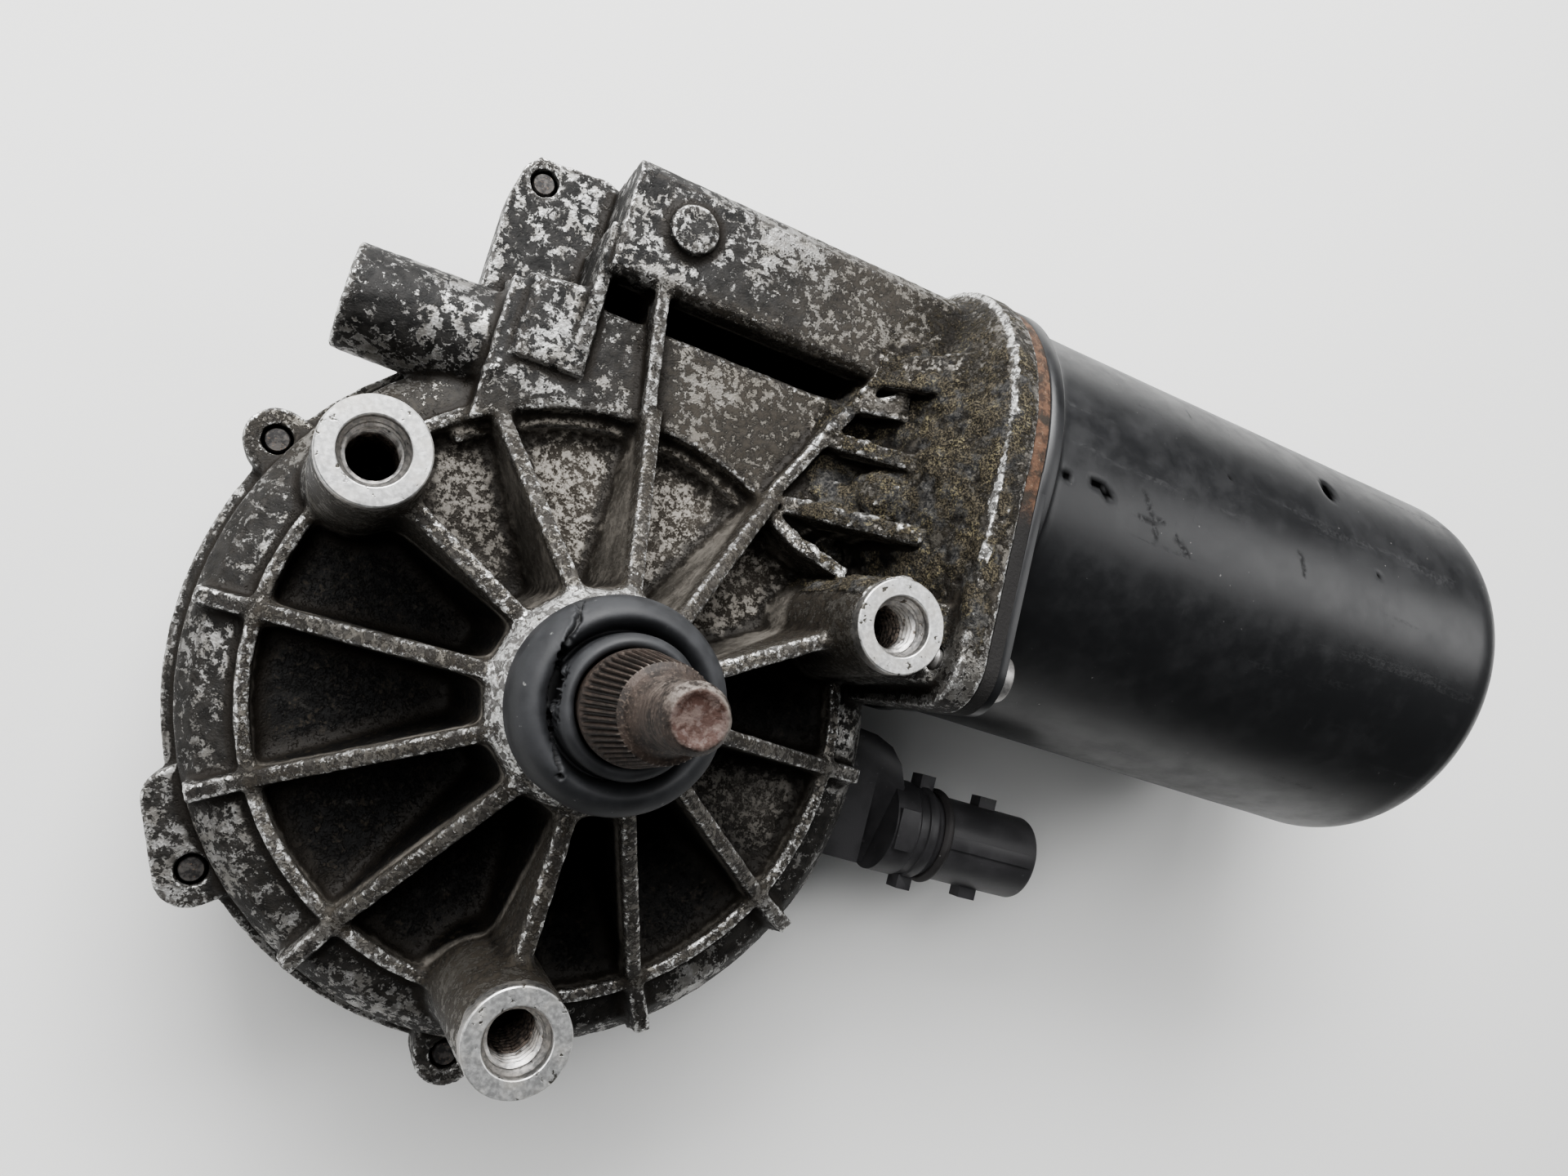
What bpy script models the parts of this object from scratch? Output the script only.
"""Wiper gearmotor for a large vehicle: a permanent-magnet motor drives a worm, the worm turns a wheel
on the output shaft, and the shaft leaves the cast gearbox between three threaded mounting bosses.

Frame: origin at the centre of the output shaft's outer end face, +Z out of the gearbox along the
output shaft, +X along the armature towards the motor can. Lengths below are in millimetres, with
heights counted from the plane of the three mounting boss faces; node() lowers them to the frame and
turns them to metres. For the gearbox, front is +Z and back is -Z; along the armature, front is -X
and rear is +X.
"""

import math

import bmesh
import bpy
from mathutils import Matrix, Vector

MM = 0.001

# Mounting bosses
BOSS_PITCH_R = 55.6
BOSS_R = 9.0
BOSS_ANGLES = (30.0, 150.0, 270.0)
BOSS_HOLE_R = 4.6
BOSS_COUNTERBORE_R = 5.65
BOSS_DEPTH = 24.0

# Gearbox casting
FLOOR_Z = -43.2
BACK_Z = -63.0
RING_R = 58.3
WALL_R = 70.0
RIM_R = 73.0
CAVITY_R = 62.0
CEILING_Z = -46.0
HUB_R = 20.0
HUB_TOP_Z = -5.2
HUB_BORE_R = 12.4

# Worm gear pair
MODULE = 1.5
WHEEL_TEETH = 75
WHEEL_PITCH_R = MODULE * WHEEL_TEETH / 2
WORM_Y = 65.2
WORM_Z = -50.0
WORM_PITCH_R = WORM_Y - WHEEL_PITCH_R
LEAD = math.pi * MODULE
WORM_TIP_R = 10.5
WORM_ROOT_R = 7.3
WHEEL_TIP_R = 57.5
WHEEL_ROOT_R = 54.2
WHEEL_Z0, WHEEL_Z1 = -54.0, -46.6

# Output shaft
SHAFT_R = 9.0
BUSH_BORE_R = SHAFT_R + 0.15
SERRATION_BASE_Z, SERRATION_BASE_R = 14.4, 9.3
SERRATION_TOP_Z, SERRATION_TOP_R = 29.7, 7.55
SERRATION_COUNT = 48
STUD_R = 5.0
SHAFT_TIP_Z = 45.0
SHAFT_TAIL_Z = -58.6
SHAFT_FLAT_X = 7.6

# Motor
CAN_R = 46.7
CAN_WALL = 2.4
CAN_INNER_R = CAN_R - CAN_WALL
CAN_LIP_R = CAN_R + 2.2
CAN_X0, CAN_X1 = 70.6, 215.6
CAN_CORNER_R = 15.0
CAN_LIP, CAN_EAR = 3.6, 1.9
FLANGE_X0, FLANGE_X1 = 60.9, 67.4
FLANGE_R = 49.4
EAR_R = 9.6
EARS = ((25.4, -9.0), (105.0, -91.0))  # y, z of the motor screws
EAR_HOLE_R = 2.8
CORE_R = 34.0
CORE_X0, CORE_X1 = 100.0, 170.0
MAGNET_R0, MAGNET_R1 = 35.4, 43.9
MAGNET_OVERHANG = 2.0

# Connector
CONNECTOR_AXIS = CONNECTOR_Y, CONNECTOR_Z = -9.0, -75.0
CONNECTOR_R = 10.6
CONNECTOR_X1 = 137.0
FOOT_X0, FOOT_X1, FOOT_Y0, FOOT_Y1 = 41.0, 59.0, -17.0, 1.0
WINDOW_GAP = 0.4
PIN_OFFSET = 3.2
PIN_PLACES = [
    (CONNECTOR_Y + y * PIN_OFFSET, CONNECTOR_Z + z * PIN_OFFSET)
    for y, z in ((1, 1), (-1, 1), (-1, -1), (1, -1))
]

# Rear cover and its screws; the first four screw holes go right through the casting's lugs
COVER_Z0, COVER_Z1 = -64.1, -67.1
LUG_FRONT_Z = -54.5
COVER_SCREWS = (
    (-65.5, 33.1), (-32.6, 103.8), (-55.3, -49.2), (0.3, -74.6),
    (40.0, -55.5), (63.2, -26.6), (50.0, 98.0),
)
THROUGH_SCREWS = 4
CASTING_SCREW_HOLE_R = 2.65
COVER_SCREW_HOLE_R = 2.75
GASKET_SCREW_HOLE_R = 3.1

# The height node() puts at the frame's origin, and the lines that parts lie or turn about
DATUM = Vector((0.0, 0.0, SHAFT_TIP_Z))
WORM_AXIS = (WORM_Y, WORM_Z)
ARMATURE_PIVOT = (0.0, WORM_Y, WORM_Z)

# Finishes: base colour, metallic, roughness
CAST_ALLOY = ((0.42, 0.41, 0.39), 0.9, 0.45)
COVER_ALLOY = ((0.36, 0.36, 0.35), 0.85, 0.5)
COVER_GASKET = ((0.06, 0.06, 0.055), 0.0, 0.8)
MOTOR_GASKET = ((0.35, 0.16, 0.07), 0.1, 0.85)
STEEL = (0.55, 0.55, 0.56)
PLAIN_STEEL = (STEEL, 0.9, 0.4)
CLIP_STEEL = (STEEL, 0.9, 0.35)
SPRING_STEEL = (STEEL, 0.9, 0.3)
GROUND_STEEL = (STEEL, 0.95, 0.3)
RACE_STEEL = (STEEL, 0.95, 0.25)
BALL_STEEL = (STEEL, 0.95, 0.2)
RUSTY_STEEL = ((0.30, 0.17, 0.11), 0.8, 0.55)
CORE_STEEL = ((0.30, 0.30, 0.31), 0.8, 0.45)
BUSH_BRONZE = ((0.55, 0.38, 0.20), 0.85, 0.45)
WASHER_BRONZE = ((0.55, 0.38, 0.20), 0.8, 0.4)
BRASS = ((0.70, 0.55, 0.25), 0.9, 0.3)
COIL_COPPER = ((0.72, 0.34, 0.18), 0.7, 0.35)
BAR_COPPER = ((0.72, 0.34, 0.18), 0.9, 0.3)
CAP_RUBBER = ((0.035, 0.036, 0.038), 0.0, 0.65)
RING_RUBBER = ((0.035, 0.036, 0.038), 0.0, 0.7)
RED_RUBBER = ((0.25, 0.06, 0.03), 0.0, 0.6)
WHEEL_PLASTIC = ((0.75, 0.72, 0.62), 0.0, 0.45)
THRUST_PLASTIC = ((0.5, 0.45, 0.3), 0.0, 0.5)
BLACK_PAINT = ((0.02, 0.02, 0.022), 0.1, 0.35)
FERRITE = ((0.07, 0.07, 0.075), 0.2, 0.6)
BRUSH_BOARD = ((0.10, 0.07, 0.04), 0.0, 0.6)
CARBON = ((0.04, 0.04, 0.045), 0.3, 0.5)
CONNECTOR_PLASTIC = ((0.025, 0.025, 0.027), 0.0, 0.4)
CARRIER_BOARD = ((0.08, 0.07, 0.05), 0.0, 0.6)

for stale in list(bpy.data.objects):
    bpy.data.objects.remove(stale, do_unlink=True)


# ---------------------------------------------------------------- building blocks
def solid(mesh_data):
    """A scene object from a bmesh, with its faces turned outwards."""
    bmesh.ops.recalc_face_normals(mesh_data, faces=mesh_data.faces[:])
    mesh = bpy.data.meshes.new("piece")
    mesh_data.to_mesh(mesh)
    mesh_data.free()
    obj = bpy.data.objects.new("piece", mesh)
    bpy.context.scene.collection.objects.link(obj)
    return obj


def polar(radius, angle):
    return (radius * math.cos(angle), radius * math.sin(angle))


def circle(radius, count, centre=(0.0, 0.0)):
    points = [polar(radius, 2 * math.pi * k / count) for k in range(count)]
    return [(centre[0] + across, centre[1] + up) for across, up in points]


def place(across, up, height, axis, at):
    """Section coordinates and height as a point: about z the section is x, y; about x it is y, z."""
    if axis == "z":
        return (at[0] + across, at[1] + up, height)
    return (height, at[0] + across, at[1] + up)


def lathe(profile, seg, axis="z", at=(0.0, 0.0), phase=0.0):
    """Turn a closed profile of (radius, height) points about an axis; radius 0 lies on it.

    phase turns the facets about the axis, so that they lie off those of neighbouring bodies.
    """
    bm = bmesh.new()
    rings = []
    for radius, height in profile:
        if radius < 1e-9:
            section = [(0.0, 0.0)]
        else:
            section = [polar(radius, phase + 2 * math.pi * k / seg) for k in range(seg)]
        rings.append([bm.verts.new(place(*point, height, axis, at)) for point in section])
    pairs = list(zip(rings, rings[1:]))
    if len(rings[0]) > 1 or len(rings[-1]) > 1:
        pairs.append((rings[-1], rings[0]))
    for low, high in pairs:
        if len(low) == 1 and len(high) == 1:
            continue
        for k in range(seg):
            n = (k + 1) % seg
            if len(low) == 1:
                bm.faces.new((low[0], high[k], high[n]))
            elif len(high) == 1:
                bm.faces.new((low[k], low[n], high[0]))
            else:
                bm.faces.new((low[k], low[n], high[n], high[k]))
    return solid(bm)


def rod(radius, start, end, seg, axis="z", at=(0.0, 0.0), far_radius=None, phase=0.0):
    far = radius if far_radius is None else far_radius
    return lathe([(0, start), (radius, start), (far, end), (0, end)], seg, axis, at, phase)


def tube(inner, outer, start, end, seg, axis="z", at=(0.0, 0.0)):
    profile = [(inner, start), (outer, start), (outer, end), (inner, end)]
    return lathe(profile, seg, axis, at)


def loft(sections):
    """A capped body through closed sections with equal numbers of points."""
    bm = bmesh.new()
    rows = [[bm.verts.new(point) for point in section] for section in sections]
    bm.faces.new(rows[0])
    bm.faces.new(rows[-1])
    for low, high in zip(rows, rows[1:]):
        for k in range(len(low)):
            n = (k + 1) % len(low)
            bm.faces.new((low[k], low[n], high[n], high[k]))
    return solid(bm)


def prism(points, start, end, axis="z", at=(0.0, 0.0), far=None):
    """A polygon pushed along an axis; far gives the end section other points."""
    return loft([
        [place(*point, start, axis, at) for point in points],
        [place(*point, end, axis, at) for point in far or points],
    ])


def box(x0, x1, y0, y1, z0, z1):
    return prism([(x0, y0), (x1, y0), (x1, y1), (x0, y1)], z0, z1)


def hull(points):
    """The convex body around a set of points."""
    bm = bmesh.new()
    for point in points:
        bm.verts.new(point)
    made = bmesh.ops.convex_hull(bm, input=bm.verts[:])
    loose = made["geom_interior"] + made["geom_unused"]
    spare = [item for item in loose if isinstance(item, bmesh.types.BMVert)]
    bmesh.ops.delete(bm, geom=list(set(spare)), context="VERTS")
    return solid(bm)


def hull_plate(points, start, end, axis="z"):
    """The convex plate around section points, between two heights."""
    ends = (start, end)
    return hull([place(*point, height, axis, (0.0, 0.0)) for point in points for height in ends])


def combine(base, others, operation):
    """Boolean of base with all of the others at once, which are used up."""
    group = bpy.data.collections.new("tools")
    for other in others:
        group.objects.link(other)
    modifier = base.modifiers.new("cut", "BOOLEAN")
    modifier.operation = operation
    modifier.solver = "EXACT"
    modifier.operand_type = "COLLECTION"
    modifier.collection = group
    bpy.context.view_layer.update()
    depsgraph = bpy.context.evaluated_depsgraph_get()
    result = bpy.data.meshes.new_from_object(base.evaluated_get(depsgraph))
    base.modifiers.clear()
    spent = base.data
    base.data = result
    bpy.data.meshes.remove(spent)
    for other in others:
        used = other.data
        bpy.data.objects.remove(other, do_unlink=True)
        bpy.data.meshes.remove(used)
    bpy.data.collections.remove(group)
    return base


def union(*pieces):
    return combine(pieces[0], pieces[1:], "UNION")


def cut(base, *tools):
    return combine(base, tools, "DIFFERENCE")


def common(base, other):
    return combine(base, [other], "INTERSECT")


def own_material(name, finish):
    colour, metallic, roughness = finish
    material = bpy.data.materials.new(name)
    material.use_nodes = True
    shader = material.node_tree.nodes["Principled BSDF"]
    shader.inputs["Base Color"].default_value = (*colour, 1.0)
    shader.inputs["Metallic"].default_value = metallic
    shader.inputs["Roughness"].default_value = roughness
    material.diffuse_color = (*colour, 1.0)
    return material


def node(name, obj, finish, pivot=(0.0, 0.0, 0.0), sharp=32.0):
    """Name the finished body, put its origin on the pivot, scale it to metres and finish it.

    Edges that bend by more than sharp degrees are shaded as sharp.
    """
    obj.name = name
    mesh = obj.data
    mesh.name = name
    mesh.transform(Matrix.Translation(-Vector(pivot)))
    mesh.transform(Matrix.Scale(MM, 4))
    obj.location = (Vector(pivot) - DATUM) * MM
    for face in mesh.polygons:
        face.use_smooth = True
    mesh.set_sharp_from_angle(angle=math.radians(sharp))
    mesh.materials.clear()
    mesh.materials.append(own_material(name, finish))


# ---------------------------------------------------------------- shared casting shapes
# Slab behind the worm tunnel: x, y
BLOCK_OUTLINE = [
    (-17.5, 50.0), (-17.5, 107.5), (-15.0, 110.0), (57.0, 110.0), (59.6, 107.0), (59.6, 40.0),
    (40.0, 30.0),
]
# Lugs joined straight to the rim: centre, radius, foot centre, half the foot's width
ROUND_LUGS = (
    (COVER_SCREWS[0], 6.3, (-56.0, 28.0), 8.0),
    (COVER_SCREWS[3], 6.2, (0.2, -64.0), 9.0),
)
# Lug along the rim: its two rounded ends, then its corners inside the rim
LONG_LUG = (
    circle(6.4, 12, (-55.3, -50.0)) + circle(5.0, 12, (-62.9, -37.0))
    + [(-44.0, -50.0), (-58.0, -26.0), (-40.0, -40.0)]
)
# Lug on the -X side of the slab: x, y
TALL_LUG = [
    (-38.6, 58.0), (-38.8, 99.0), (-37.4, 106.0), (-35.0, 109.0), (-20.0, 110.2), (-14.0, 108.0),
    (-14.0, 62.0),
]
# Funnel from the worm tunnel to the motor's flange: radius, x
BELL_PROFILE = [
    (12.5, 29.0), (12.5, 43.0), (17.5, 48.5), (32.0, 54.6), (42.0, 59.0),
    (FLANGE_R, FLANGE_X0 + 1.0),
]


def round_lug(centre, radius, foot, half, z0, z1):
    outward = Vector((foot[0] - centre[0], foot[1] - centre[1])).normalized()
    side = Vector((-outward.y, outward.x))
    feet = [(foot[0] + side.x * half * sign, foot[1] + side.y * half * sign) for sign in (1, -1)]
    return hull_plate(circle(radius, 12, centre) + feet, z0, z1)


def lugs(z0, z1):
    """The cover-screw lugs that stand outside the round rim, between two heights."""
    shapes = [round_lug(*lug, z0, z1) for lug in ROUND_LUGS]
    shapes.append(hull_plate(LONG_LUG, z0, z1))
    shapes.append(prism(TALL_LUG, z0, z1))
    return shapes


def back_plate(z0, z1):
    """A plate with the shared outline of the casting's back, its gasket and its cover."""
    return union(rod(RIM_R, z0, z1, 52), prism(BLOCK_OUTLINE, z0, z1), *lugs(z0, z1))


def motor_bell(grow, x_end):
    """The funnel, fattened by grow and carried on to x_end."""
    profile = [(0, BELL_PROFILE[0][1] - grow)]
    profile += [(radius + grow, x - grow * 0.4) for radius, x in BELL_PROFILE]
    profile += [(FLANGE_R + grow, x_end), (0, x_end)]
    return lathe(profile, 40, "x", WORM_AXIS, phase=0.017)


def ear_plate(y, z, radius, rim, x0, x1):
    """A plate around one motor screw, with straight sides tangent to a round rim."""
    away = Vector((y - WORM_Y, z - WORM_Z))
    middle = math.atan2(away.y, away.x)
    half = math.acos((rim - radius) / away.length)
    foot_r = rim - 0.5
    feet = [
        (WORM_Y + foot_r * math.cos(middle + side * half),
         WORM_Z + foot_r * math.sin(middle + side * half))
        for side in (-1, 1)
    ]
    return hull_plate(circle(radius, 16, (y, z)) + feet, x0, x1, "x")


def rim_relief():
    """Room for the casting's round rim, which reaches past the flange on its -Y side."""
    return rod(RIM_R + 0.8, -65.0, -43.5, 64, phase=0.019)


def screw_holes(radius, start, end, seg, places=COVER_SCREWS):
    return [rod(radius, start, end, seg, at=at) for at in places]


def ear_holes(radius, start, end):
    return [rod(radius, start, end, 12, "x", ear) for ear in EARS]


# ---------------------------------------------------------------- gearbox casting
BOSS_PLACES = [polar(BOSS_PITCH_R, math.radians(angle)) for angle in BOSS_ANGLES]

# Turned shapes: radius, z
SHELL_PROFILE = [
    (0, BACK_Z), (RIM_R, BACK_Z), (RIM_R, -57.4), (WALL_R + 0.3, -56.6), (WALL_R, -49.0),
    (66.6, -44.6), (62.0, FLOOR_Z), (0, FLOOR_Z),
]
HUB_PROFILE = [
    (0, -46.0), (21.6, -46.0), (21.6, -42.0), (HUB_R, -12.0), (19.4, -8.0), (17.4, HUB_TOP_Z),
    (0, HUB_TOP_Z),
]
RING_PROFILE = [
    (RING_R - 1.6, -45.0), (RING_R + 1.6, -45.0), (RING_R + 1.3, -38.6), (RING_R - 1.3, -38.6),
]
BOSS_PROFILE = [
    (0, -46.0), (11.4, -46.0), (10.0, -36.0), (9.4, -9.0), (BOSS_R, -0.5), (BOSS_R - 0.5, 0),
    (0, 0),
]
BOSS_HOLE_PROFILE = [
    (0, -BOSS_DEPTH - 2.2), (BOSS_HOLE_R, -BOSS_DEPTH), (BOSS_HOLE_R, -2.6),
    (BOSS_COUNTERBORE_R, -1.6), (BOSS_COUNTERBORE_R, 1.0), (0, 1.0),
]
# Turned about the worm's axis: radius, x
BLIND_END_PROFILE = [(0, -62.3), (10.7, -62.3), (11.5, -30.0), (11.5, -16.0), (0, -16.0)]
BELL_CAVITY_PROFILE = [
    (0, 46.0), (12.6, 46.0), (18.0, 52.0), (37.5, 61.5), (42.0, 62.5), (42.0, 72.0), (0, 72.0),
]
# Sections across the worm: y, z
TUNNEL_SECTION = [
    (44.0, -62.0), (44.0, -38.5), (47.0, -36.2), (75.5, -36.2), (76.3, -37.2), (77.0, -44.0),
    (78.6, -48.0), (80.5, -54.0), (80.5, -62.0),
]
SIDE_BLOCK_SECTION = [
    (82.0, -62.5), (82.0, -31.0), (83.6, -29.4), (104.2, -29.4), (107.2, -32.4), (108.8, -62.5),
]
TUNNEL_CAVITY_SECTION = [
    (53.5, -66.0), (53.5, -45.4), (55.5, -43.9), (58.5, -40.6), (62.0, -38.6), (68.4, -38.6),
    (72.6, -41.2), (75.6, -45.5), (76.5, -50.0), (76.5, -66.0),
]
# Corner taken off the tunnel's -X end: x, y
TUNNEL_CORNER = [(-60, 40), (-60, 100), (-30, 100), (-44, 40)]
# Convex bodies: x, y, z
END_BLOCK = [
    (-31.6, 60.0, -60.0), (-31.6, 79.0, -60.0), (-31.2, 60.0, -37.0), (-31.2, 78.0, -37.0),
    (-29.6, 61.0, -34.6), (-29.6, 77.0, -34.6), (-16.0, 61.0, -34.6), (-16.0, 79.0, -34.6),
    (-15.0, 60.0, -60.0), (-15.0, 81.0, -60.0),
]
BOSS_FLARE = [
    (-13.5, -53.5, -45), (-11.0, -59.5, -45), (-3.0, -45.5, -45), (2.0, -47.0, -45),
    (-8.5, -54.5, -33), (0.0, -48.0, -33), (0.0, -56.0, -33),
]
EAR_BRIDGE = [
    (48, 20, -16), (48, 36, -16), (48, 18, -57.7), (48, 38, -57.7),
    (62, 20, -6), (62, 36, -6), (62, 18, -57.7), (62, 40, -57.7),
]
# Radial ribs: angle, crest z at RIB_MID_R, outer radius, crest z there, half foot width, foot z
RIB_INNER_R, RIB_INNER_Z = 14.0, -7.6
RIB_MID_R = 20.0
RIB_HALF_CREST = 1.25
RIBS = (
    (0, -8.6, 68.0, -41.8, 2.0, -47.0), (30, -8.8, 50.0, -12.4, 2.4, -45.0),
    (60, -8.6, 60.0, -34.8, 2.0, -45.0), (90, -8.6, 60.0, -34.8, 2.0, -45.0),
    (120, -8.6, 66.0, -35.0, 2.0, -47.0), (150, -8.8, 50.0, -12.4, 2.4, -45.0),
    (180, -8.6, 69.4, -41.8, 2.0, -47.0), (210, -8.6, 69.4, -41.8, 2.0, -47.0),
    (240, -8.6, 70.0, -41.8, 2.0, -47.0), (270, -8.8, 50.0, -12.4, 2.4, -45.0),
    (300, -8.6, 70.0, -41.8, 2.0, -47.0), (330, -8.6, 69.6, -41.8, 2.0, -47.0),
)
# Webs over the worm tunnel: crest start and end, foot z, half the crest's and the foot's width
TUNNEL_WEBS = (
    ((-1.0, 57.0, -33.6), (-6.4, 84.0, -29.8), -58.0, 1.1, 1.6),
    ((28.0, 50.0, -34.6), (46.0, 86.5, -28.6), -58.0, 1.4, 2.2),
    ((-17.4, 66.0, -34.4), (-18.2, 92.0, -30.6), -58.0, 1.1, 1.6),
)
SLANTED_WEB = ((29.5, 47.7, -34.5), (46.0, 38.8, -26.0), -46.0, 1.1, 1.6)
# Webs from the tunnel to the motor flange: y, start x, crest z at the flange
FLANGE_WEBS = (
    (89.5, 44.0, -20.0), (78.5, 38.0, -12.0), (69.0, 36.0, -9.0), (57.5, 34.0, -10.0),
    (45.0, 44.0, -9.0),
)


def rib(angle, mid_z, outer_r, outer_z, half_foot, foot_z):
    """A radial rib with draft, wider at its foot than at its crest."""
    turn = math.radians(angle)
    radial = Vector((math.cos(turn), math.sin(turn), 0))
    across = Vector((-math.sin(turn), math.cos(turn), 0))
    sections = []
    for radius, z in ((RIB_INNER_R, RIB_INNER_Z), (RIB_MID_R, mid_z), (outer_r, outer_z)):
        middle = radial * radius
        foot = Vector((0, 0, foot_z))
        crest = Vector((0, 0, z))
        sections.append([
            middle - across * half_foot + foot,
            middle + across * half_foot + foot,
            middle + across * RIB_HALF_CREST + crest,
            middle - across * RIB_HALF_CREST + crest,
        ])
    return loft(sections)


def web(start, end, foot_z, half_crest, half_foot):
    """A web with draft whose crest runs between two (x, y, z) points."""
    along = Vector((end[0] - start[0], end[1] - start[1], 0)).normalized()
    across = Vector((-along.y, along.x, 0))
    points = []
    for x, y, z in (start, end):
        for side in (-1, 1):
            points.append(Vector((x, y, z)) + across * half_crest * side)
            points.append(Vector((x, y, foot_z)) + across * half_foot * side)
    return hull(points)


def tunnel_body():
    """The worm tunnel's walls, cleared inside the floor's ring."""
    return cut(
        prism(TUNNEL_SECTION, -34.0, 46.0, "x"),
        rod(RING_R - 1.7, -44.4, -20.0, 48),
        prism(TUNNEL_CORNER, -46.0, -20.0),
    )


def ring_foot():
    """Thick foot of the ring where the worm tunnel passes under it."""
    arc = [math.radians(50.0 + 10.0 * k) for k in range(9)]
    outer = [polar(58.4, angle) for angle in arc]
    inner = [polar(53.6, angle) for angle in reversed(arc)]
    return prism(outer + inner, -46.3, -40.4)


def housing_pieces():
    """What is joined to the round shell."""
    pieces = [
        tunnel_body(),
        prism(SIDE_BLOCK_SECTION, -17.5, 62.0, "x"),
        prism(BLOCK_OUTLINE, BACK_Z, -56.0),
        motor_bell(0.0, FLANGE_X1),
    ]
    pieces += lugs(BACK_Z, LUG_FRONT_Z)
    # Worm shaft's blind end, the block around it and the round pad on the side block
    pieces.append(lathe(BLIND_END_PROFILE, 24, "x", (WORM_Y - 1.2, WORM_Z)))
    pieces.append(hull(END_BLOCK))
    pieces.append(rod(5.3, -31.0, -27.6, 20, at=(-4.0, 95.8), far_radius=4.9))
    # Hub, ring, ribs and webs
    pieces.append(lathe(HUB_PROFILE, 30, phase=0.031))
    pieces.append(lathe(RING_PROFILE, 48, phase=0.013))
    pieces += [rib(*row) for row in RIBS]
    pieces += [web(*row) for row in TUNNEL_WEBS]
    for y, x, z in FLANGE_WEBS:
        pieces.append(web((x, y, -36.0), (62.0, y + 0.6, z), -56.0, 1.5, 2.2))
    pieces.append(web(*SLANTED_WEB))
    pieces.append(ring_foot())
    # Boss posts and the flare at the foot of the -Y one
    pieces += [lathe(BOSS_PROFILE, 20, "z", at, phase=0.023) for at in BOSS_PLACES]
    pieces.append(hull(BOSS_FLARE))
    # The bridge from the +X boss to the flange's ear, and the ears
    pieces.append(hull(EAR_BRIDGE))
    pieces += [ear_plate(*ear, EAR_R, FLANGE_R, FLANGE_X0 + 0.4, FLANGE_X1) for ear in EARS]
    return pieces


def housing_tools():
    """What is cut from the casting."""
    tools = [
        rod(CAVITY_R, BACK_Z - 2, CEILING_Z, 44, phase=0.037),
        # Worm tunnel, open to the back, and the bearing seats on its axis
        prism(TUNNEL_CAVITY_SECTION, -29.0, 31.0, "x"),
        rod(11.8, 30.4, 47.0, 28, "x", WORM_AXIS, phase=0.041),
        rod(7.9, -57.5, -28.0, 20, "x", WORM_AXIS, phase=0.033),
        lathe(BELL_CAVITY_PROFILE, 28, "x", WORM_AXIS, phase=0.029),
        # Hollow of the block beside the tunnel
        box(-13.5, 50.0, 84.8, 104.6, BACK_Z - 2, -33.0),
        rod(HUB_BORE_R, -47.0, 0.0, 28, phase=0.057),
    ]
    tools += [lathe(BOSS_HOLE_PROFILE, 18, "z", at) for at in BOSS_PLACES]
    through, blind = COVER_SCREWS[:THROUGH_SCREWS], COVER_SCREWS[THROUGH_SCREWS:]
    tools += screw_holes(CASTING_SCREW_HOLE_R, BACK_Z - 1, LUG_FRONT_Z + 1, 8, through)
    tools += screw_holes(CASTING_SCREW_HOLE_R, BACK_Z - 1, -55.0, 8, blind)
    tools += ear_holes(EAR_HOLE_R, FLANGE_X0 - 1.5, FLANGE_X1 + 1)
    return tools


def gear_housing():
    body = union(lathe(SHELL_PROFILE, 52), *housing_pieces())
    node("gear_housing", cut(body, union(*housing_tools())), CAST_ALLOY)


gear_housing()


# ---------------------------------------------------------------- rear cover
DOME_PROFILE = [(0, -66.0), (26.0, -66.0), (22.0, -70.6), (0, -70.6)]  # radius, z
STIFFENER_COUNT = 6
STIFFENER_FIRST_ANGLE = 17
STIFFENER_HALF = 1.6
# Cover screw: radius, z
COVER_SCREW_SEAT_Z = -67.4
COVER_SCREW_PROFILE = [
    (0, -71.2), (3.6, -71.2), (4.3, -70.2), (4.3, COVER_SCREW_SEAT_Z), (2.3, COVER_SCREW_SEAT_Z),
    (2.3, -55.1), (0, -55.1),
]


def stiffener(angle):
    """A low radial bar on the cover's back."""
    radial = Vector((*polar(1.0, angle), 0))
    across = Vector((-radial.y, radial.x, 0)) * STIFFENER_HALF
    return hull([
        radial * radius + across * side + Vector((0, 0, z))
        for radius in (20, 50) for side in (-1, 1) for z in (-66.0, -68.6)
    ])


def rear_cover():
    step = 360 // STIFFENER_COUNT
    angles = [math.radians(STIFFENER_FIRST_ANGLE + step * k) for k in range(STIFFENER_COUNT)]
    plate = back_plate(COVER_Z1, COVER_Z0)
    dome = lathe(DOME_PROFILE, 24, phase=0.021)
    body = union(plate, dome, *[stiffener(angle) for angle in angles])
    tools = [rod(12.0, -69.0, -63.0, 20)]
    tools += screw_holes(COVER_SCREW_HOLE_R, -72.0, -60.0, 8)
    # Window for the connector's foot, and room for the motor's bell
    tools.append(box(FOOT_X0 - WINDOW_GAP, FOOT_X1 + WINDOW_GAP,
                     FOOT_Y0 - WINDOW_GAP, FOOT_Y1 + WINDOW_GAP, -72.0, -60.0))
    tools.append(motor_bell(0.7, 90.0))
    node("rear_cover", cut(body, *tools), COVER_ALLOY)


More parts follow.
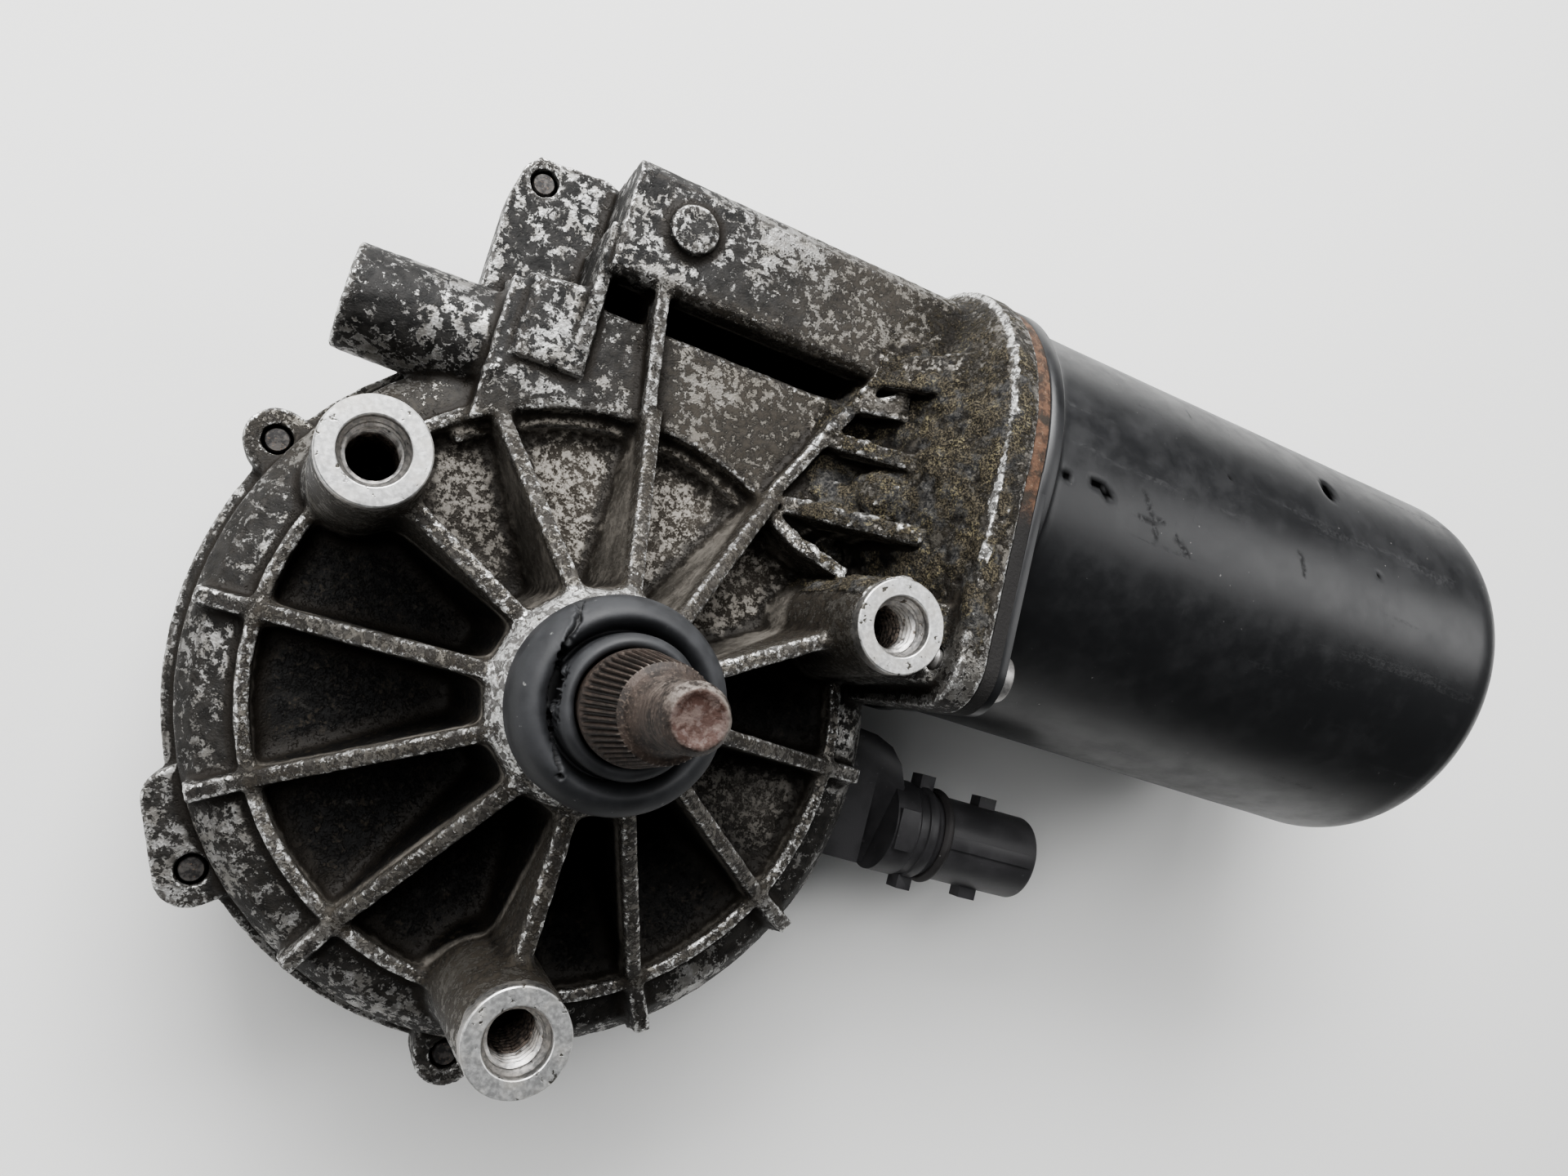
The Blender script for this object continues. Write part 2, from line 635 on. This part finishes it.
def cover_gasket():
    z0, z1 = -66.0, -60.0
    # Openings for the wheel, the worm tunnel and the hollow block
    tools = [
        rod(CAVITY_R + 1.0, z0, z1, 36),
        box(-27.0, 34.0, 50.0, 77.0, z0, z1),
        box(-12.0, 49.0, 86.0, 103.6, z0, z1),
    ]
    tools += screw_holes(GASKET_SCREW_HOLE_R, z0, z1, 6)
    tools.append(motor_bell(0.5, 90.0))
    node("cover_gasket", cut(back_plate(-63.9, -63.2), *tools), COVER_GASKET)


def cover_screw(index, at):
    body = lathe(COVER_SCREW_PROFILE, 10, "z", at)
    socket = prism(circle(1.9, 6), -72.0, -69.2, "z", at)
    pivot = (*at, COVER_SCREW_SEAT_Z)
    node(f"cover_screw_{index}", cut(body, socket), PLAIN_STEEL, pivot)


rear_cover()
cover_gasket()
for number, screw in enumerate(COVER_SCREWS, 1):
    cover_screw(number, screw)


# ---------------------------------------------------------------- output shaft and worm wheel
# Turned shapes: radius, z
JOURNAL_PROFILE = [
    (0, SHAFT_TAIL_Z), (5.2, SHAFT_TAIL_Z), (5.8, -58.0), (5.8, -56.6), (8.4, -56.6),
    (SHAFT_R, -56.0), (SHAFT_R, 12.6), (SERRATION_BASE_R, 13.4),
    (SERRATION_BASE_R, SERRATION_BASE_Z + 0.3), (0, SERRATION_BASE_Z + 0.3),
]
STUD_PROFILE = [
    (0, SERRATION_TOP_Z - 0.4), (6.3, SERRATION_TOP_Z - 0.4), (STUD_R + 0.6, 31.2),
    (STUD_R, 32.4), (STUD_R, 43.6), (4.1, SHAFT_TIP_Z), (0, SHAFT_TIP_Z),
]
FRONT_DISH_PROFILE = [
    (17.5, -44.0), (49.5, -44.0), (49.5, -48.4), (46.5, -49.0), (19.5, -49.0), (17.5, -48.4),
]
BACK_DISH_PROFILE = [
    (17.5, -56.0), (17.5, -52.4), (19.5, -51.8), (46.5, -51.8), (49.5, -52.4), (49.5, -56.0),
]
SEAL_RING_PROFILE = [
    (BUSH_BORE_R, -6.6), (12.0, -6.6), (12.0, -3.4), (10.6, -3.4), (BUSH_BORE_R, -4.2),
]
SEAL_CAP_PROFILE = [
    (12.8, -4.9), (17.2, -4.9), (18.2, -2.8), (18.2, 3.0), (17.4, 7.0), (15.2, 9.0), (13.6, 7.4),
    (12.6, 4.6), (11.9, 6.2), (11.9, 10.6), (11.2, 12.1), (9.9, 12.0), (9.2, 10.6), (9.2, 3.0),
    (9.9, -1.0), (12.8, -2.6),
]
# Half the width of a wheel gap, at the root and at the tip
GAP_ROOT, GAP_TIP = 0.95, 1.95


def serrated(crest, root):
    return [
        polar(root if k % 2 else crest, math.pi * k / SERRATION_COUNT)
        for k in range(2 * SERRATION_COUNT)
    ]


def output_shaft():
    """Journal, serrated cone and stud, with a flat on the tail for the wheel's hub."""
    journal = lathe(JOURNAL_PROFILE, 28)
    stud = lathe(STUD_PROFILE, 20, phase=0.05)
    cone = prism(
        serrated(SERRATION_BASE_R, SERRATION_BASE_R - 0.55), SERRATION_BASE_Z, SERRATION_TOP_Z,
        far=serrated(SERRATION_TOP_R, SERRATION_TOP_R - 0.5))
    flat = box(SHAFT_FLAT_X, 12.0, -12.0, 12.0, -60.0, -45.0)
    node("output_shaft", cut(union(journal, cone, stud), flat), RUSTY_STEEL, sharp=25.0)


def wheel_section(z):
    """The toothed outline at a height, turned to follow the worm's lead."""
    lead_turn = (LEAD / (2 * math.pi * WORM_PITCH_R)) / WHEEL_PITCH_R
    points = []
    for k in range(WHEEL_TEETH):
        gap = math.radians(90.0) + 2 * math.pi * k / WHEEL_TEETH
        for side, radius, half in (
            (-1, WHEEL_TIP_R, GAP_TIP), (-1, WHEEL_ROOT_R, GAP_ROOT),
            (1, WHEEL_ROOT_R, GAP_ROOT), (1, WHEEL_TIP_R, GAP_TIP),
        ):
            points.append(polar(radius, gap + side * half / radius + lead_turn * (z - WORM_Z)))
    return points


def worm_wheel():
    """Seventy-five teeth cut for a single-start worm, a gap facing the worm at rest."""
    rim = prism(wheel_section(WHEEL_Z0), WHEEL_Z0, WHEEL_Z1, far=wheel_section(WHEEL_Z1))
    dishes = [lathe(profile, 28) for profile in (FRONT_DISH_PROFILE, BACK_DISH_PROFILE)]
    bore = rod(13.3, -58.0, -42.0, 28)
    node("worm_wheel", cut(rim, *dishes, bore), WHEEL_PLASTIC)


def wheel_hub():
    """A collar whose bore keeps a flat against the shaft's."""
    body = rod(13.0, -54.6, -47.0, 28)
    hole = rod(9.2, -58.0, -44.0, 36)
    hole = cut(hole, box(SHAFT_FLAT_X + 0.2, 12.0, -12.0, 12.0, -60.0, -42.0))
    node("wheel_hub", cut(body, hole), PLAIN_STEEL)


def park_contact_disc():
    """The parking track: a ring behind the wheel with a window through its +X side."""
    ring = tube(22.0, 40.0, -55.2, -54.3, 32)
    window = prism([(25.0, -4.0), (34.0, -6.0), (34.0, 6.0), (25.0, 4.0)], -56.0, -53.0)
    node("park_contact_disc", cut(ring, window), BRASS)


def shaft_circlip():
    ring = tube(6.0, 9.0, -57.9, -56.9, 24)
    node("shaft_circlip", cut(ring, box(0, 12, -1.5, 1.5, -60, -54)), CLIP_STEEL)


output_shaft()
worm_wheel()
wheel_hub()
park_contact_disc()
shaft_circlip()
node("thrust_washer", tube(9.3, 12.0, -45.9, -45.2, 36), WASHER_BRONZE)
for bush_name, bush_z0, bush_z1 in (("front", -24.0, -7.0), ("rear", -44.8, -29.0)):
    node(f"shaft_bush_{bush_name}", tube(BUSH_BORE_R, 12.1, bush_z0, bush_z1, 36), BUSH_BRONZE)
node("shaft_seal_ring", lathe(SEAL_RING_PROFILE, 36), RING_RUBBER)
# Rubber cap over the hub: fat outer lip, groove, then an inner collar around the shaft
node("shaft_seal_cap", lathe(SEAL_CAP_PROFILE, 30), CAP_RUBBER)


# ---------------------------------------------------------------- worm and armature
# One pitch of the worm's thread: offset along x, radius
THREAD_PATTERN = [
    (-LEAD / 2, WORM_ROOT_R), (-1.66, WORM_ROOT_R), (-0.52, WORM_TIP_R), (0.52, WORM_TIP_R),
    (1.66, WORM_ROOT_R),
]
THREAD_SEG, THREAD_TURNS = 16, 8
# Turned about the worm's axis: radius, x
SPINDLE_PROFILE = [
    (0, -55.4), (5.0, -55.4), (5.0, -30.0), (6.9, -27.0), (6.9, 27.0), (8.2, 28.5), (8.2, 34.8),
    (6.4, 35.0), (6.4, 47.0), (6.1, 48.0), (6.0, 196.0), (5.0, 197.0), (5.0, 208.0), (0, 208.0),
]
CORE_TEETH = 12
COMMUTATOR_BARS = 16
HUMP_POINTS = 24


def worm_thread():
    """One right-hand thread whose crest faces the wheel's gap at rest, trimmed square."""
    bm = bmesh.new()
    start = -LEAD * THREAD_TURNS / 2
    step = len(THREAD_PATTERN)
    rows = step * THREAD_TURNS
    columns = []
    for j in range(THREAD_SEG):
        angle = 2 * math.pi * j / THREAD_SEG
        column = []
        for i in range(rows + 1):
            offset, radius = THREAD_PATTERN[i % step]
            # The crest passes x = 0 on the wheel's side, where the angle is half a turn
            x = start + LEAD * (i // step) + offset + LEAD * (angle - math.pi) / (2 * math.pi)
            y = WORM_Y + radius * math.cos(angle)
            z = WORM_Z + radius * math.sin(angle)
            column.append(bm.verts.new((x, y, z)))
        columns.append(column)
    for j in range(THREAD_SEG):
        here, there = columns[j], columns[(j + 1) % THREAD_SEG]
        # The last column meets the first one a whole pitch further on
        shift = step if j == THREAD_SEG - 1 else 0
        for i in range(rows - shift):
            bm.faces.new((here[i], here[i + 1], there[i + 1 + shift], there[i + shift]))
    # Close both ends with fans to a point on the axis
    near = bm.verts.new((start - LEAD, WORM_Y, WORM_Z))
    far = bm.verts.new((-start + LEAD, WORM_Y, WORM_Z))
    low = [column[0] for column in columns] + [columns[0][i] for i in range(step, 0, -1)]
    high = [column[rows] for column in columns]
    high += [columns[-1][rows - i] for i in range(1, step + 1)]
    for loop, apex in ((low, near), (high, far)):
        for k in range(len(loop)):
            bm.faces.new((loop[k], loop[(k + 1) % len(loop)], apex))
    return common(solid(bm), rod(12.0, -14.37, 14.41, 16, "x", WORM_AXIS, phase=0.11))


def worm_shaft():
    thread = worm_thread()
    spindle = lathe(SPINDLE_PROFILE, 16, "x", WORM_AXIS, phase=0.05)
    node("worm_shaft", union(spindle, thread), GROUND_STEEL, ARMATURE_PIVOT)


def armature_core():
    """The stack: T-shaped teeth around a bore, with slots between them."""
    half_pitch = math.pi / CORE_TEETH
    body = half_pitch - 0.16
    head = half_pitch - 0.045
    points = []
    for k in range(CORE_TEETH):
        middle = 2 * math.pi * k / CORE_TEETH
        for radius, angle in (
            (15.5, -body), (28.5, -body), (30.0, -head), (CORE_R, -head), (CORE_R, 0.0),
            (CORE_R, head), (30.0, head), (28.5, body), (15.5, body),
        ):
            points.append(polar(radius, middle + angle))
    stack = prism(points, CORE_X0, CORE_X1, "x", WORM_AXIS)
    bore = rod(6.3, CORE_X0 - 2, CORE_X1 + 2, 20, "x", WORM_AXIS)
    node("armature_core", cut(stack, bore), CORE_STEEL, ARMATURE_PIVOT)


def winding(name, stack_x, shoulder_x, end_x):
    """End turns outside the stack: a ring of coil humps that narrows from shoulder_x to end_x."""
    ring = [
        polar(29.5 if k % 2 else 27.0, 2 * math.pi * k / HUMP_POINTS) for k in range(HUMP_POINTS)
    ]
    narrow = [(y * 0.72, z * 0.72) for y, z in ring]
    straight = prism(ring, stack_x, shoulder_x, "x", WORM_AXIS)
    tapered = prism(ring, shoulder_x, end_x, "x", WORM_AXIS, far=narrow)
    bore = rod(7.4, min(stack_x, end_x) - 2, max(stack_x, end_x) + 2, 20, "x", WORM_AXIS)
    node(name, cut(union(straight, tapered), bore), COIL_COPPER, ARMATURE_PIVOT)


def commutator():
    """A drum of bars with shallow grooves between them, and the riser ring behind it."""
    pitch = 2 * math.pi / COMMUTATOR_BARS
    points = []
    for k in range(COMMUTATOR_BARS):
        middle = 2 * math.pi * k / COMMUTATOR_BARS
        for radius, angle in ((13.4, -0.165), (13.4, 0.165), (12.6, 0.175), (12.6, pitch - 0.175)):
            points.append(polar(radius, middle + angle))
    drum = prism(points, 62.0, 82.0, "x", WORM_AXIS)
    risers = tube(10.0, 15.4, 81.8, 84.6, 28, "x", WORM_AXIS)
    bore = rod(6.7, 60.0, 86.0, 20, "x", WORM_AXIS)
    node("commutator", cut(union(drum, risers), bore), BAR_COPPER, ARMATURE_PIVOT)


worm_shaft()
armature_core()
winding("armature_winding_front", CORE_X0 - 0.3, 93.0, 87.0)
winding("armature_winding_rear", CORE_X1 + 0.3, 178.0, 186.0)
commutator()


# ---------------------------------------------------------------- armature bearings
BEARING_X = 41.0
BEARING_X0, BEARING_X1 = BEARING_X - 5.0, BEARING_X + 5.0
GROOVE_X0, GROOVE_X1 = BEARING_X - 2.0, BEARING_X + 2.0
BALL_R, BALL_COUNT, BALL_PITCH_R = 1.4, 8, 9.1
BALL_FIRST_ANGLE = 0.07
# Turned about the worm's axis: radius, x
OUTER_RACE_PROFILE = [
    (10.3, BEARING_X0), (11.5, BEARING_X0), (11.5, BEARING_X1), (10.3, BEARING_X1),
    (10.3, GROOVE_X1), (10.9, BEARING_X), (10.3, GROOVE_X0),
]
INNER_RACE_PROFILE = [
    (6.7, BEARING_X0), (7.9, BEARING_X0), (7.9, GROOVE_X0), (7.35, BEARING_X),
    (7.9, GROOVE_X1), (7.9, BEARING_X1), (6.7, BEARING_X1),
]
REAR_BUSH_PROFILE = [
    (5.25, 199.5), (8.6, 199.5), (9.6, 202.0), (9.6, 204.4), (8.6, 206.9), (5.25, 206.9),
]


def bearing_balls():
    """A cage ring with the balls joined to it."""
    cage = tube(8.5, 9.7, BEARING_X - 0.6, BEARING_X + 0.6, 16, "x", WORM_AXIS)
    profile = [(0, BEARING_X - BALL_R)]
    for i in range(1, 4):
        angle = math.pi * i / 4
        profile.append((BALL_R * math.sin(angle), BEARING_X - BALL_R * math.cos(angle)))
    profile.append((0, BEARING_X + BALL_R))
    balls = []
    for k in range(BALL_COUNT):
        y, z = polar(BALL_PITCH_R, 2 * math.pi * k / BALL_COUNT + BALL_FIRST_ANGLE)
        balls.append(lathe(profile, 6, "x", (WORM_Y + y, WORM_Z + z)))
    node("worm_bearing_balls", union(cage, *balls), BALL_STEEL, ARMATURE_PIVOT)


node("worm_bearing_outer", lathe(OUTER_RACE_PROFILE, 20, "x", WORM_AXIS), RACE_STEEL)
node("worm_bearing_inner", lathe(INNER_RACE_PROFILE, 20, "x", WORM_AXIS), RACE_STEEL,
     ARMATURE_PIVOT)
bearing_balls()
node("stub_bush", tube(5.2, 7.5, -50.0, -33.0, 20, "x", WORM_AXIS), BUSH_BRONZE)
node("thrust_pad", rod(4.6, -57.2, -55.7, 20, "x", WORM_AXIS), THRUST_PLASTIC)
node("rear_bush", lathe(REAR_BUSH_PROFILE, 16, "x", WORM_AXIS), BUSH_BRONZE)
node("armature_washer", tube(5.4, 8.4, 197.6, 198.6, 16, "x", WORM_AXIS), THRUST_PLASTIC,
     ARMATURE_PIVOT)


# ---------------------------------------------------------------- motor can
# Turned about the worm's axis: radius, x
CAN_MOUTH = [
    (CAN_LIP_R, CAN_X0), (CAN_LIP_R, CAN_X0 + CAN_LIP), (CAN_R + 0.4, CAN_X0 + CAN_LIP + 1.6),
    (CAN_R, CAN_X1 - CAN_CORNER_R),
]
CAN_END = [(14.0, CAN_X1), (11.5, CAN_X1), (10.5, CAN_X1 - 0.6), (0, CAN_X1 - 0.6)]
CAN_INSIDE = [
    (0, 209.4), (9.9, 209.4), (9.9, 199.6), (12.6, 199.6), (14.0, CAN_X1 - CAN_WALL),
    (31.0, CAN_X1 - CAN_WALL), (40.0, CAN_X1 - 7.0), (CAN_INNER_R, CAN_X1 - 14.5),
    (CAN_INNER_R, CAN_X0),
]
MOTOR_SCREW_SEAT_X = 72.8
MOTOR_SCREW_PROFILE = [
    (0, 60.2), (2.0, 60.2), (2.5, 60.9), (2.5, MOTOR_SCREW_SEAT_X), (5.0, MOTOR_SCREW_SEAT_X),
    (5.0, 76.4), (4.2, 77.2), (0, 77.2),
]
MAGNET_COUNT = 4
MAGNET_HALF_ANGLE, MAGNET_STEPS = math.radians(36.0), 6


def motor_can():
    corner = []
    for k in range(1, 5):
        across, along = polar(CAN_CORNER_R, math.pi / 2 * k / 4)
        corner.append((CAN_R - CAN_CORNER_R + across, CAN_X1 - CAN_CORNER_R + along))
    shell = lathe(CAN_MOUTH + corner + CAN_END + CAN_INSIDE, 36, "x", WORM_AXIS)
    ears = [ear_plate(*ear, EAR_R - 0.8, CAN_LIP_R, CAN_X0, CAN_X0 + CAN_EAR) for ear in EARS]
    tools = [rod(CAN_INNER_R + 0.05, CAN_X0 - 1, CAN_X0 + 10, 36, "x", WORM_AXIS)]
    tools += ear_holes(EAR_HOLE_R, CAN_X0 - 1, CAN_X0 + 5)
    tools.append(rim_relief())
    node("motor_can", cut(union(shell, *ears), *tools), BLACK_PAINT)


def motor_gasket():
    x0, x1 = FLANGE_X1 + 0.3, CAN_X0 - 0.3
    inner, outer = 42.4, CAN_R + 2.0
    ring = tube(inner, outer, x0, x1, 36, "x", WORM_AXIS)
    ears = [ear_plate(*ear, EAR_R - 0.6, outer, x0, x1) for ear in EARS]
    tools = [rod(inner + 0.05, x0 - 1.0, x1 + 1.0, 36, "x", WORM_AXIS)]
    tools += ear_holes(EAR_HOLE_R + 0.1, x0 - 1.0, x1 + 1.0)
    tools.append(rim_relief())
    node("motor_gasket", cut(union(ring, *ears), *tools), MOTOR_GASKET)


def motor_screw(index, ear):
    body = lathe(MOTOR_SCREW_PROFILE, 16, "x", ear)
    socket = prism(circle(2.3, 6), 74.8, 78.4, "x", ear)
    pivot = (MOTOR_SCREW_SEAT_X, *ear)
    node(f"motor_screw_{index}", cut(body, socket), PLAIN_STEEL, pivot)


def magnet(index, middle):
    """A curved ferrite segment just inside the can's wall."""
    arc = [
        middle - MAGNET_HALF_ANGLE + 2 * MAGNET_HALF_ANGLE * k / MAGNET_STEPS
        for k in range(MAGNET_STEPS + 1)
    ]
    points = [polar(MAGNET_R1, angle) for angle in arc]
    points += [polar(MAGNET_R0, angle) for angle in reversed(arc)]
    x0, x1 = CORE_X0 - MAGNET_OVERHANG, CORE_X1 + MAGNET_OVERHANG
    node(f"magnet_{index}", prism(points, x0, x1, "x", WORM_AXIS), FERRITE)


motor_can()
motor_gasket()
for number, screw in enumerate(EARS, 1):
    motor_screw(number, screw)
for number in range(MAGNET_COUNT):
    magnet(number + 1, math.radians(45 + 90 * number))


# ---------------------------------------------------------------- brush gear
BRUSH_ANGLES = (math.radians(20.0), math.radians(200.0))
SPRING_X = 71.3
SPRING_R0, SPRING_R1 = 24.3, 32.3  # its ends, from the armature's axis
SPRING_WIRE_R, SPRING_MEAN_R = 0.35, 2.4
SPRING_TURNS, SPRING_SEG, WIRE_SEG = 4, 8, 5


def turned_box(x0, x1, inner, outer, half, angle):
    """A block standing radially off the armature's axis."""
    cosine, sine = math.cos(angle), math.sin(angle)
    section = [(inner, -half), (outer, -half), (outer, half), (inner, half)]
    points = [(y * cosine - z * sine, y * sine + z * cosine) for y, z in section]
    return prism(points, x0, x1, "x", WORM_AXIS)


def brush_plate():
    plate = tube(15.8, 41.2, 64.4, 66.6, 32, "x", WORM_AXIS)
    holders = [turned_box(66.0, 76.4, 17.0, 34.0, 5.2, angle) for angle in BRUSH_ANGLES]
    slots = [turned_box(67.8, 74.8, 15.0, 32.6, 3.8, angle) for angle in BRUSH_ANGLES]
    node("brush_plate", cut(union(plate, *holders), *slots), BRUSH_BOARD)


def brush(index, angle):
    node(f"brush_{index}", turned_box(68.1, 74.5, 13.75, 24.0, 3.5, angle), CARBON)


def brush_spring(index, angle):
    """A compression spring standing radially off the armature's axis."""
    cosine, sine = math.cos(angle), math.sin(angle)
    steps = SPRING_TURNS * SPRING_SEG
    rise = SPRING_R1 - SPRING_R0 - 2 * SPRING_WIRE_R
    sections = []
    for k in range(steps + 1):
        turn = 2 * math.pi * k / SPRING_SEG
        height = SPRING_R0 + SPRING_WIRE_R + rise * k / steps
        centre = Vector((*polar(SPRING_MEAN_R, turn), height))
        outward = Vector((*polar(1.0, turn), 0))
        section = []
        for j in range(WIRE_SEG):
            around = 2 * math.pi * j / WIRE_SEG
            lift = Vector((0, 0, SPRING_WIRE_R * math.sin(around)))
            point = centre + outward * SPRING_WIRE_R * math.cos(around) + lift
            section.append((
                SPRING_X + point.x,
                WORM_Y + point.z * cosine - point.y * sine,
                WORM_Z + point.z * sine + point.y * cosine,
            ))
        sections.append(section)
    node(f"brush_spring_{index}", loft(sections), SPRING_STEEL)


brush_plate()
for make in (brush, brush_spring):
    for number, brush_angle in enumerate(BRUSH_ANGLES, 1):
        make(number, brush_angle)


# ---------------------------------------------------------------- connector
# Convex bodies: x, y, z
CONNECTOR_ARM = [
    (40.0, -19.0, -67.4), (40.0, 3.0, -67.4), (86.0, -19.6, -67.4), (86.0, 8.0, -67.4),
    (42.0, -18.0, -82.0), (42.0, 2.0, -82.0), (86.0, -19.6, -84.0), (86.0, 6.0, -84.0),
]
CONNECTOR_SHOULDER = [
    (84.0, -19.4, -67.4), (84.0, 10.5, -68.0), (92.0, 10.0, -69.5), (97.0, 4.0, -71.0),
    (97.0, -19.0, -67.4), (84.0, -19.4, -84.5), (84.0, 9.5, -83.0), (92.0, 9.0, -82.0),
    (97.0, 3.0, -81.0), (97.0, -19.0, -84.5),
]
# Turned about the connector's or a pin's axis: radius, x
CONNECTOR_SHELL_PROFILE = [
    (0, 94.0), (11.8, 94.0), (11.8, 99.0), (11.2, 99.6), (11.2, 101.5), (12.4, 102.0),
    (12.4, 104.0), (11.2, 104.6), (CONNECTOR_R, 105.5), (CONNECTOR_R, CONNECTOR_X1 - 0.8),
    (CONNECTOR_R - 0.8, CONNECTOR_X1), (0, CONNECTOR_X1),
]
PIN_PROFILE = [(0, 107.4), (1.1, 107.4), (1.1, 131.6), (0.6, 133.0), (0, 133.0)]
CONNECTOR_SEAL_PROFILE = [
    (10.95, 106.2), (12.3, 106.2), (12.9, 106.9), (12.9, 108.1), (12.3, 108.8), (10.95, 108.8),
]
# Pegs, a pair of each: start and end x, inner and outer distance from the axis, half height
PEGS = ((119.5, 124.5, 9.8, 13.0, 2.2), (101.0, 105.0, 11.0, 14.4, 2.6))


def peg(side, x0, x1, inner, outer, half):
    y0, y1 = sorted((CONNECTOR_Y + side * inner, CONNECTOR_Y + side * outer))
    return box(x0, x1, y0, y1, CONNECTOR_Z - half, CONNECTOR_Z + half)


def connector_housing():
    """Moulded elbow: a foot through the cover's window, an arm along its back, a round shell."""
    body = union(
        box(FOOT_X0, FOOT_X1, FOOT_Y0, FOOT_Y1, -66.0, -61.2),
        box(FOOT_X0, FOOT_X1, FOOT_Y0, FOOT_Y1, -70.0, -64.0),
        hull(CONNECTOR_ARM),
        hull(CONNECTOR_SHOULDER),
        lathe(CONNECTOR_SHELL_PROFILE, 24, "x", CONNECTOR_AXIS, phase=0.04),
        *[peg(side, *row) for row in PEGS for side in (-1, 1)],
    )
    tools = [rod(8.6, 118.0, CONNECTOR_X1 + 1, 24, "x", CONNECTOR_AXIS)]
    tools += [rod(1.35, 107.0, 120.0, 10, "x", at) for at in PIN_PLACES]
    node("connector_housing", cut(body, *tools), CONNECTOR_PLASTIC)


connector_housing()
for number, pin in enumerate(PIN_PLACES, 1):
    node(f"connector_pin_{number}", lathe(PIN_PROFILE, 10, "x", pin), BRASS)
node("connector_seal", lathe(CONNECTOR_SEAL_PROFILE, 24, "x", CONNECTOR_AXIS), RED_RUBBER)


# ---------------------------------------------------------------- parking contacts
# Carrier plate: x, y
CARRIER_OUTLINE = [
    (38.0, -19.0), (57.0, -17.5), (58.5, 1.0), (38.0, 4.0), (16.0, -2.0), (16.0, -16.0),
]
LEAF_ROOT_X, LEAF_MIDDLE_Y = 46.0, -8.0
LEAF_PITCH = 4.2
LEAF_HALF_WIDTH, LEAF_THICKNESS = 1.3, 0.35
LEAF_REACHES = (12.0, 16.0, 20.0)


def contact_spring(index, reach):
    """A bent leaf: its root lies over the carrier, its tip just clear of the parking track."""
    # Distance from the root towards -X, z
    front = [(0.0, -58.85), (5.0, -58.85), (reach - 1.0, -55.75), (reach + 1.0, -55.5)]
    side = front + [(along, z - LEAF_THICKNESS) for along, z in reversed(front)]
    y = LEAF_MIDDLE_Y + (2 - index) * LEAF_PITCH
    leaf = loft([
        [(LEAF_ROOT_X - along, y + offset, z) for along, z in side]
        for offset in (-LEAF_HALF_WIDTH, LEAF_HALF_WIDTH)
    ])
    node(f"contact_spring_{index}", leaf, BRASS)


node("contact_carrier", hull_plate(CARRIER_OUTLINE, -60.8, -59.4), CARRIER_BOARD)
for number, leaf_reach in enumerate(LEAF_REACHES, 1):
    contact_spring(number, leaf_reach)
